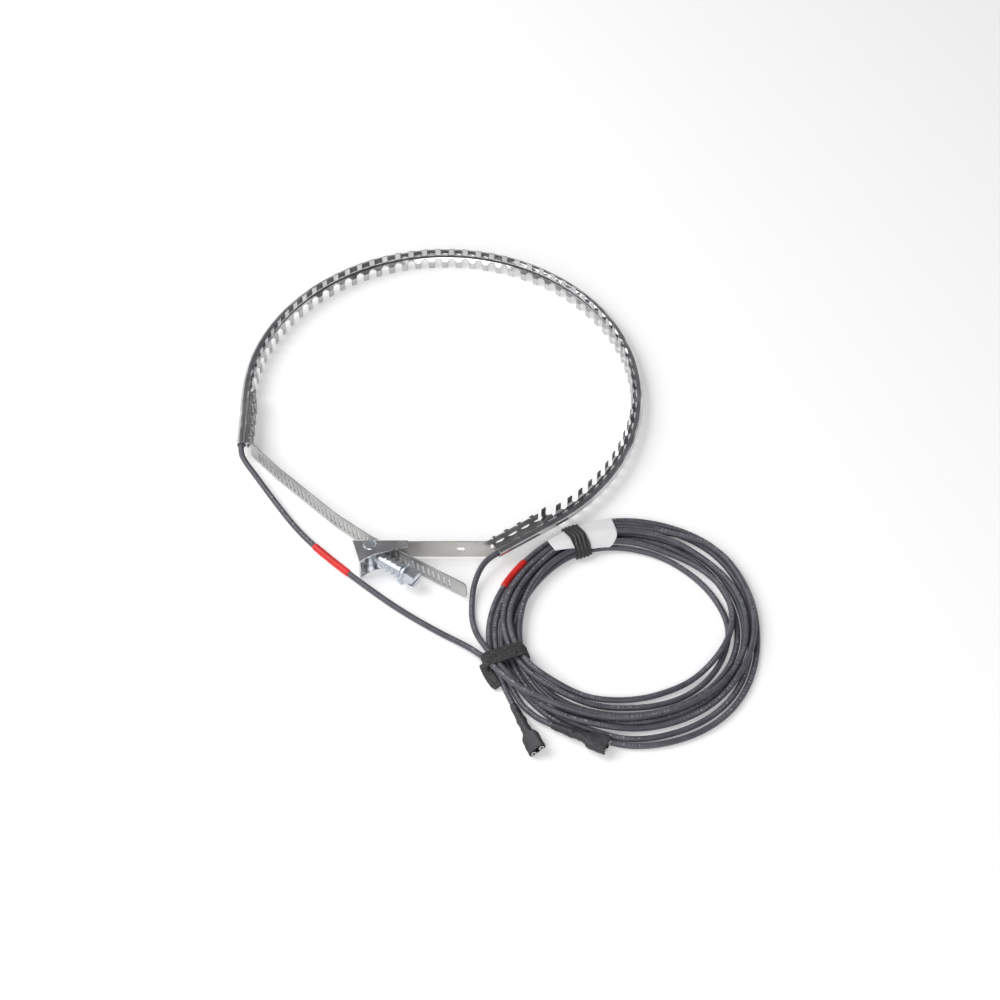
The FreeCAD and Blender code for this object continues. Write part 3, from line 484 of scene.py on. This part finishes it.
def skin_faces(rows, ring, first=0, closed=False):
    """Faces between rows of points, each a ring; closed joins the last row to the first."""
    faces = []
    for k in range(rows if closed else rows - 1):
        here, following = first + k * ring, first + (k + 1) % rows * ring
        for j in range(ring):
            n = (j + 1) % ring
            faces.append((here + j, here + n, following + n, following + j))
    return faces


def tube_mesh(name, line, radius_at, material, sides=24):
    """A skin round a stretch of line; radius_at gives its radius at a share of the stretch."""
    total = line_length(line)
    vertices = []
    side = None
    run = 0.0
    for k, point in enumerate(line):
        ahead = (line[min(k + 1, len(line) - 1)] - line[max(k - 1, 0)]).normalized()
        if side is None:
            side = ahead.orthogonal().normalized()
        side = (side - ahead * side.dot(ahead)).normalized()
        other = ahead.cross(side)
        if k:
            run += (point - line[k - 1]).length
        radius = radius_at(run / total)
        for j in range(sides):
            angle = 2.0 * math.pi * j / sides
            vertices.append(point + (side * math.cos(angle) + other * math.sin(angle)) * radius)
    faces = skin_faces(len(line), sides)
    faces.append(tuple(reversed(range(sides))))
    faces.append(tuple(range(len(vertices) - sides, len(vertices))))
    return add_piece(name, vertices, faces, material)


def resampled(line, spacing):
    """The same line with points at an even spacing."""
    points = [line[0]]
    carry = 0.0
    for a, b in zip(line, line[1:]):
        length = (b - a).length
        at = spacing - carry
        while at <= length:
            points.append(a.lerp(b, at / length))
            at += spacing
        carry = (carry + length) % spacing
    return points


def stretch_between(line, start, end):
    """The part of a line from its point nearest to one place, in millimetres, to that nearest to another."""
    first = min(range(len(line)), key=lambda k: (line[k] - Vector(start) * MM).length)
    last = min(range(len(line)), key=lambda k: (line[k] - Vector(end) * MM).length)
    return line[min(first, last):max(first, last) + 1]


def marker_radius(share):
    """A thin sleeve whose two ends turn down to the lead."""
    lip, seat = 0.04, LEAD_RADIUS * 0.98
    edge = min(share, 1.0 - share) / lip
    return seat + (LEAD_RADIUS + MARKER_WALL - seat) * min(edge, 1.0) ** 0.5


marker_a_line = stretch_between(resampled(left_line, LINE_STEP), *MARKER_A_SPAN)
marker_a = tube_mesh("marker_sleeve_a_skin", marker_a_line, marker_radius, marker_red)
outer_turn = resampled(right_line, LINE_STEP)[-int(OUTER_TURN_LENGTH / LINE_STEP):]
marker_b_line = stretch_between(outer_turn, coil_place(*MARKER_B_START), coil_place(*MARKER_B_END))
marker_b = tube_mesh("marker_sleeve_b_skin", marker_b_line, marker_radius, marker_red)


# Shapes wrapped round the bundle, drawn in the plane of radius and height at one angle
CORD_LINES = [resampled(left_line, 3.0 * MM), resampled(right_line, 3.0 * MM)]
RIM_POINTS = 32


def coil_polar(point):
    """Angle round the coil, radius and height, the last two in millimetres."""
    dx, dy = point[0] - COIL_CENTRE[0], point[1] - COIL_CENTRE[1]
    return math.degrees(math.atan2(dy, dx)), math.hypot(dx, dy) / MM, point[2] / MM


def strands_at(deg):
    """Radius and height of every lead that crosses this angle, in millimetres."""
    found = []
    for points in CORD_LINES:
        for a, b in zip(points, points[1:]):
            pa, pb = coil_polar(a), coil_polar(b)
            turn = (pb[0] - pa[0] + 180.0) % 360.0 - 180.0
            gone = (deg - pa[0] + 180.0) % 360.0 - 180.0
            if turn and 0.0 <= gone / turn < 1.0 and abs(gone) < 20.0:
                share = gone / turn
                found.append((pa[1] + (pb[1] - pa[1]) * share, pa[2] + (pb[2] - pa[2]) * share))
    return [p for p in found if COIL_INNER_LIMIT < p[0] < COIL_OUTER_LIMIT]


def hull(points):
    """Convex outline of plane points, counter-clockwise."""
    points = sorted(set(points))

    def half(row):
        chain = []
        for p in row:
            while len(chain) > 1 and ((chain[-1][0] - chain[-2][0]) * (p[1] - chain[-2][1])
                                      - (chain[-1][1] - chain[-2][1]) * (p[0] - chain[-2][0])) <= 0:
                chain.pop()
            chain.append(p)
        return chain[:-1]

    return half(points) + half(points[::-1])


def wrap_outline(deg, gap, count):
    """Even points round the taut outline of the bundle, grown by a gap, in millimetres."""
    radius = LEAD_RADIUS / MM + gap
    rim = []
    for r, z in strands_at(deg):
        for k in range(RIM_POINTS):
            angle = 2.0 * math.pi * k / RIM_POINTS
            rim.append((round(r + radius * math.cos(angle), 4), round(z + radius * math.sin(angle), 4)))
    ring = hull(rim)
    ring.append(ring[0])
    total = sum(math.dist(a, b) for a, b in zip(ring, ring[1:]))
    points, run, k = [], 0.0, 0
    for j in range(count):
        target = total * j / count
        while run + math.dist(ring[k], ring[k + 1]) < target:
            run += math.dist(ring[k], ring[k + 1])
            k += 1
        share = (target - run) / math.dist(ring[k], ring[k + 1])
        points.append((ring[k][0] + (ring[k + 1][0] - ring[k][0]) * share,
                       ring[k][1] + (ring[k + 1][1] - ring[k][1]) * share))
    return points


def across_place(deg, across, radius_mm, height_mm):
    """A point of a tie: across its width at one angle, straight along the bundle."""
    angle = math.radians(deg)
    return Vector((COIL_CENTRE[0] + radius_mm * MM * math.cos(angle) - across * math.sin(angle),
                   COIL_CENTRE[1] + radius_mm * MM * math.sin(angle) + across * math.cos(angle),
                   height_mm * MM))


# The pile's roughness; the band draws from it first, then its loose end
fuzz = random.Random(7)


def loose_end(first_index):
    """The hook-and-loop tie's free end, lying out along the bundle: vertices and faces."""
    start, knee, end = (Vector(p) * MM for p in LOOSE_END_LINE)
    across = LOOSE_END_ACROSS * HOOK_TIE_WIDTH * LOOSE_END_HALF_SHARE
    steps, columns = 24, 8
    vertices = []
    for k in range(steps + 1):
        t = k / steps
        middle = start * (1.0 - t) ** 2 + knee * 2.0 * t * (1.0 - t) + end * t ** 2
        ahead = (knee - start) * (1.0 - t) + (end - knee) * t
        up = across.cross(ahead).normalized() * HOOK_TIE_THICKNESS / 2.0
        up = up if up.z > 0.0 else -up
        taper = 1.0 - 0.25 * max(t - 0.9, 0.0) / 0.1
        for j in range(columns + 1):
            side = across * taper * (2.0 * j / columns - 1.0)
            vertices.append(middle + side + up * (1.0 + fuzz.uniform(-0.16, 0.2)))
        for j in range(columns + 1):
            vertices.append(middle + across * taper * (1.0 - 2.0 * j / columns) - up)
    ring = 2 * (columns + 1)
    faces = skin_faces(steps + 1, ring, first_index)
    faces.append(tuple(first_index + j for j in reversed(range(ring))))
    faces.append(tuple(first_index + steps * ring + j for j in range(ring)))
    return vertices, faces


def band_mesh(name, deg, width, thickness, gap, material, relief, count, columns, end=None):
    """A closed strap round the bundle; relief gives how far its outer face stands out."""
    edge_height, edge_share = 0.72, 1.0 / 6.0
    floor_gap = 0.05
    inner = wrap_outline(deg, gap, count)
    rows = columns + 1
    vertices, faces = [], []
    for j in range(count):
        before, after = inner[j - 1], inner[(j + 1) % count]
        length = math.dist(before, after)
        normal = ((after[1] - before[1]) / length, -(after[0] - before[0]) / length)
        for c in range(rows):
            edge = min(min(c, columns - c) / columns / edge_share, 1.0)
            stand = thickness / MM * (edge_height + (1.0 - edge_height) * edge)
            stand += relief(j / count, c / columns)
            r = inner[j][0] + normal[0] * stand
            z = inner[j][1] + normal[1] * stand
            vertices.append(across_place(deg, width * (c / columns - 0.5), r, max(z, floor_gap)))
    base = len(vertices)
    for r, z in inner:
        for across in (-0.5 * width, 0.5 * width):
            vertices.append(across_place(deg, across, r, max(z, floor_gap)))
    for j in range(count):
        n = (j + 1) % count
        for c in range(columns):
            faces.append((j * rows + c, j * rows + c + 1, n * rows + c + 1, n * rows + c))
        faces.append((base + 2 * j, j * rows, n * rows, base + 2 * n))
        faces.append((j * rows + columns, base + 2 * j + 1, base + 2 * n + 1, n * rows + columns))
        faces.append((base + 2 * j + 1, base + 2 * j, base + 2 * n, base + 2 * n + 1))
    if end:
        end_vertices, end_faces = end(len(vertices))
        vertices += end_vertices
        faces += end_faces
    return add_piece(name, vertices, faces, material)


def ribs(along, across):
    """Ridges that run round the bundle and weave a little from side to side."""
    weave = 0.05 * math.sin(2.0 * math.pi * 3.0 * along)
    ridge = 0.24 * math.cos(2.0 * math.pi * 4.0 * (across + weave))
    return ridge + 0.05 * math.sin(2.0 * math.pi * 60.0 * along)


def pile(along, across):
    return fuzz.uniform(-0.14, 0.2)


hook_tie = band_mesh("hook_loop_tie_band", HOOK_TIE_DEG, HOOK_TIE_WIDTH, HOOK_TIE_THICKNESS,
                     HOOK_TIE_GAP, hook_loop, pile, 260, 26, loose_end)
ribbed_tie = band_mesh("ribbed_tie_band", RIBBED_TIE_DEG, RIBBED_TIE_WIDTH, RIBBED_TIE_THICKNESS,
                       RIBBED_TIE_GAP, ribbed_black, ribs, 320, 36)


# Label: a sheet wrapped from the bundle's outer side over its top to its inner edge
def label_inner_radius(deg):
    """How far in the sheet reaches: short at its far end, rounded at its near corner."""
    straight = LABEL_INNER_RADIUS + LABEL_TAPER * max(deg - LABEL_ROUND_DEG, 0.0) ** 2
    over = min(max(LABEL_ROUND_DEG - deg, 0.0) / (LABEL_ROUND_DEG - LABEL_START_DEG), 1.0)
    return straight + LABEL_CORNER * (1.0 - math.sqrt(1.0 - over ** 2))


def label_mesh():
    columns, rows, outline_count = 64, 40, 300
    vertices, faces = [], []
    for c in range(columns + 1):
        share = c / columns
        deg = LABEL_START_DEG + (LABEL_END_DEG - LABEL_START_DEG) * share
        outline = wrap_outline(deg, LABEL_GAP, outline_count)
        first = max(range(outline_count), key=lambda j: outline[j][0] - abs(outline[j][1] - LABEL_EDGE_HEIGHT))
        inner = label_inner_radius(deg)
        last = first
        while last < first + outline_count // 2 and outline[last % outline_count][0] > inner:
            last += 1
        for r in range(rows + 1):
            at = first + (last - first) * r / rows
            low = int(at)
            part = at - low
            a, b = outline[low % outline_count], outline[(low + 1) % outline_count]
            radius = a[0] + (b[0] - a[0]) * part
            height = a[1] + (b[1] - a[1]) * part
            slant = (LABEL_END_SLANT * share - LABEL_START_SLANT * (1.0 - share)) * r / rows
            vertices.append(Vector(coil_place(radius, deg + slant, height)) * MM)
    for c in range(columns):
        for r in range(rows):
            a = c * (rows + 1) + r
            faces.append((a, a + 1, a + rows + 2, a + rows + 1))
    piece = add_piece("wrap_label_sheet", vertices, faces, paper)
    solid = piece.modifiers.new("thickness", "SOLIDIFY")
    solid.thickness = LABEL_THICKNESS
    solid.offset = 1.0
    return piece


label = label_mesh()


# Shrunk sleeves
def sleeve_section(share):
    """Half width, half height and squareness of a sleeve at a share of its length."""
    k = max(i for i in range(len(SLEEVE_STATIONS) - 1) if SLEEVE_STATIONS[i][0] <= share or i == 0)
    before, after = SLEEVE_STATIONS[k], SLEEVE_STATIONS[k + 1]
    t = min((share - before[0]) / (after[0] - before[0]), 1.0)
    t = t * t * (3.0 - 2.0 * t)
    return (before[i] + (after[i] - before[i]) * t for i in (1, 2, 3))


def sleeve_mesh(letter):
    """A shrunk sleeve: neck, crimp with its ridge, shoulder and a flat open mouth."""
    start, heading, rise, roll = TERMINALS[letter]
    place = (Matrix.Translation(Vector(start)) @ Matrix.Rotation(math.radians(heading), 4, "Z")
             @ Matrix.Rotation(math.radians(-rise), 4, "Y") @ Matrix.Rotation(math.radians(roll), 4, "X"))
    shares = [k / SLEEVE_STEPS for k in range(SLEEVE_STEPS + 1)]
    rows = [(share, 0.0) for share in shares] + [(share, SLEEVE_WALL) for share in reversed(shares)]
    shift = random.Random(SLEEVE_SEEDS[letter])
    phases = [shift.uniform(0.0, 6.28) for _ in range(4)]
    vertices = []
    for share, deepest in rows:
        width, height, power = sleeve_section(share)
        inset = min(deepest, height - SLEEVE_BORE)
        for j in range(SLEEVE_SIDES):
            angle = 2.0 * math.pi * j / SLEEVE_SIDES
            c, s = math.cos(angle), math.sin(angle)
            scale = (abs(c) ** power + abs(s) ** power) ** (-1.0 / power)
            crease = 0.07 * math.sin(3 * angle + phases[0] + 9.0 * share) * math.sin(23.0 * share + phases[1])
            crease += 0.04 * math.sin(7 * angle + phases[2]) * math.sin(41.0 * share + phases[3])
            crease *= 1.0 if 0.03 < share < 0.97 else 0.3
            local = Vector((share * SLEEVE_LENGTH, (width - inset + crease) * c * scale,
                            (height - inset + crease) * s * scale))
            vertices.append(place @ local * MM)
    faces = skin_faces(len(rows), SLEEVE_SIDES, closed=True)
    return add_piece("shrink_sleeve_" + letter, vertices, faces, shrink)


sleeves = {letter: sleeve_mesh(letter) for letter in TERMINALS}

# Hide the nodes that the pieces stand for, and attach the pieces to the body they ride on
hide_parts("left_lead", "lead_coil", "lead_tail_b")
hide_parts("right_lead", "lead_tail_a")
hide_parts("marker_sleeve_a")
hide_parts("marker_sleeve_b")
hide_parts("hook_loop_tie")
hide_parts("ribbed_tie")
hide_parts("wrap_label")
for letter, sleeve in sleeves.items():
    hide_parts("terminal_sleeve_" + letter)
for piece in (left_cord, right_cord, marker_a, marker_b, hook_tie, ribbed_tie, label, *sleeves.values()):
    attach(piece, "heater")

# Floor, whose faint glow is seen by the camera and by glossy metal but lights nothing
floor_mesh = bpy.data.meshes.new("floor")
floor_mesh.from_pydata([(-FLOOR_HALF, -FLOOR_HALF, 0), (FLOOR_HALF, -FLOOR_HALF, 0),
                        (FLOOR_HALF, FLOOR_HALF, 0), (-FLOOR_HALF, FLOOR_HALF, 0)], [], [(0, 1, 2, 3)])
floor_material, floor_tree, floor_shader = new_material("floor_white")
floor_shader.inputs["Base Color"].default_value = (0.9, 0.9, 0.9, 1.0)
floor_shader.inputs["Roughness"].default_value = 0.9
floor_shader.inputs["Specular IOR Level"].default_value = 0.1
floor_shader.inputs["Emission Color"].default_value = (1.0, 1.0, 1.0, 1.0)
seen = floor_tree.nodes.new("ShaderNodeLightPath")
seen_share = maths(floor_tree, "MAXIMUM", seen.outputs["Is Camera Ray"], seen.outputs["Is Glossy Ray"])
floor_tree.links.new(maths(floor_tree, "MULTIPLY", seen_share, FLOOR_GLOW),
                     floor_shader.inputs["Emission Strength"])
floor_mesh.materials.append(floor_material)
floor = bpy.data.objects.new("floor", floor_mesh)
floor.location = (0.0, 0.0, -FLOOR_DROP)
bpy.context.collection.objects.link(floor)

# Sky: bright round the horizon, dark overhead, and brighter behind than in front
world = bpy.data.worlds.new("studio")
bpy.context.scene.world = world
world.use_nodes = True
sky = world.node_tree
sky_direction = sky.nodes.new("ShaderNodeTexCoord")
sky_parts = sky.nodes.new("ShaderNodeSeparateXYZ")
sky.links.new(sky_direction.outputs["Generated"], sky_parts.inputs["Vector"])
background = sky.nodes["Background"]
sky.links.new(ramp(sky, sky_parts.outputs["Z"], SKY_TONES), background.inputs["Color"])
sky.links.new(spread(sky, sky_parts.outputs["Y"], SKY_FRONT, SKY_BACK, -1.0, 1.0), background.inputs["Strength"])


def area_light(name, location, size, power):
    data = bpy.data.lights.new(name, "AREA")
    data.shape = "RECTANGLE"
    data.size, data.size_y = size
    data.energy = power
    lamp = bpy.data.objects.new(name, data)
    lamp.location = location
    lamp.rotation_euler = (Vector(LAMP_TARGET) - Vector(location)).to_track_quat("-Z", "Y").to_euler()
    bpy.context.collection.objects.link(lamp)


area_light("key", (-0.8, 0.1, 1.05), (1.0, 1.0), 13.0)
area_light("fill", (-0.15, -1.15, 0.75), (1.0, 0.7), 7.5)

camera_data = bpy.data.cameras.new("camera")
camera_data.sensor_width = 36.0
camera_data.lens = CAMERA_LENS
camera = bpy.data.objects.new("camera", camera_data)
camera.location = CAMERA_PLACE
camera.rotation_euler = (math.radians(CAMERA_TILT_DEG), 0.0, 0.0)
bpy.context.collection.objects.link(camera)
bpy.context.scene.camera = camera
bpy.context.scene.view_settings.view_transform = "Standard"
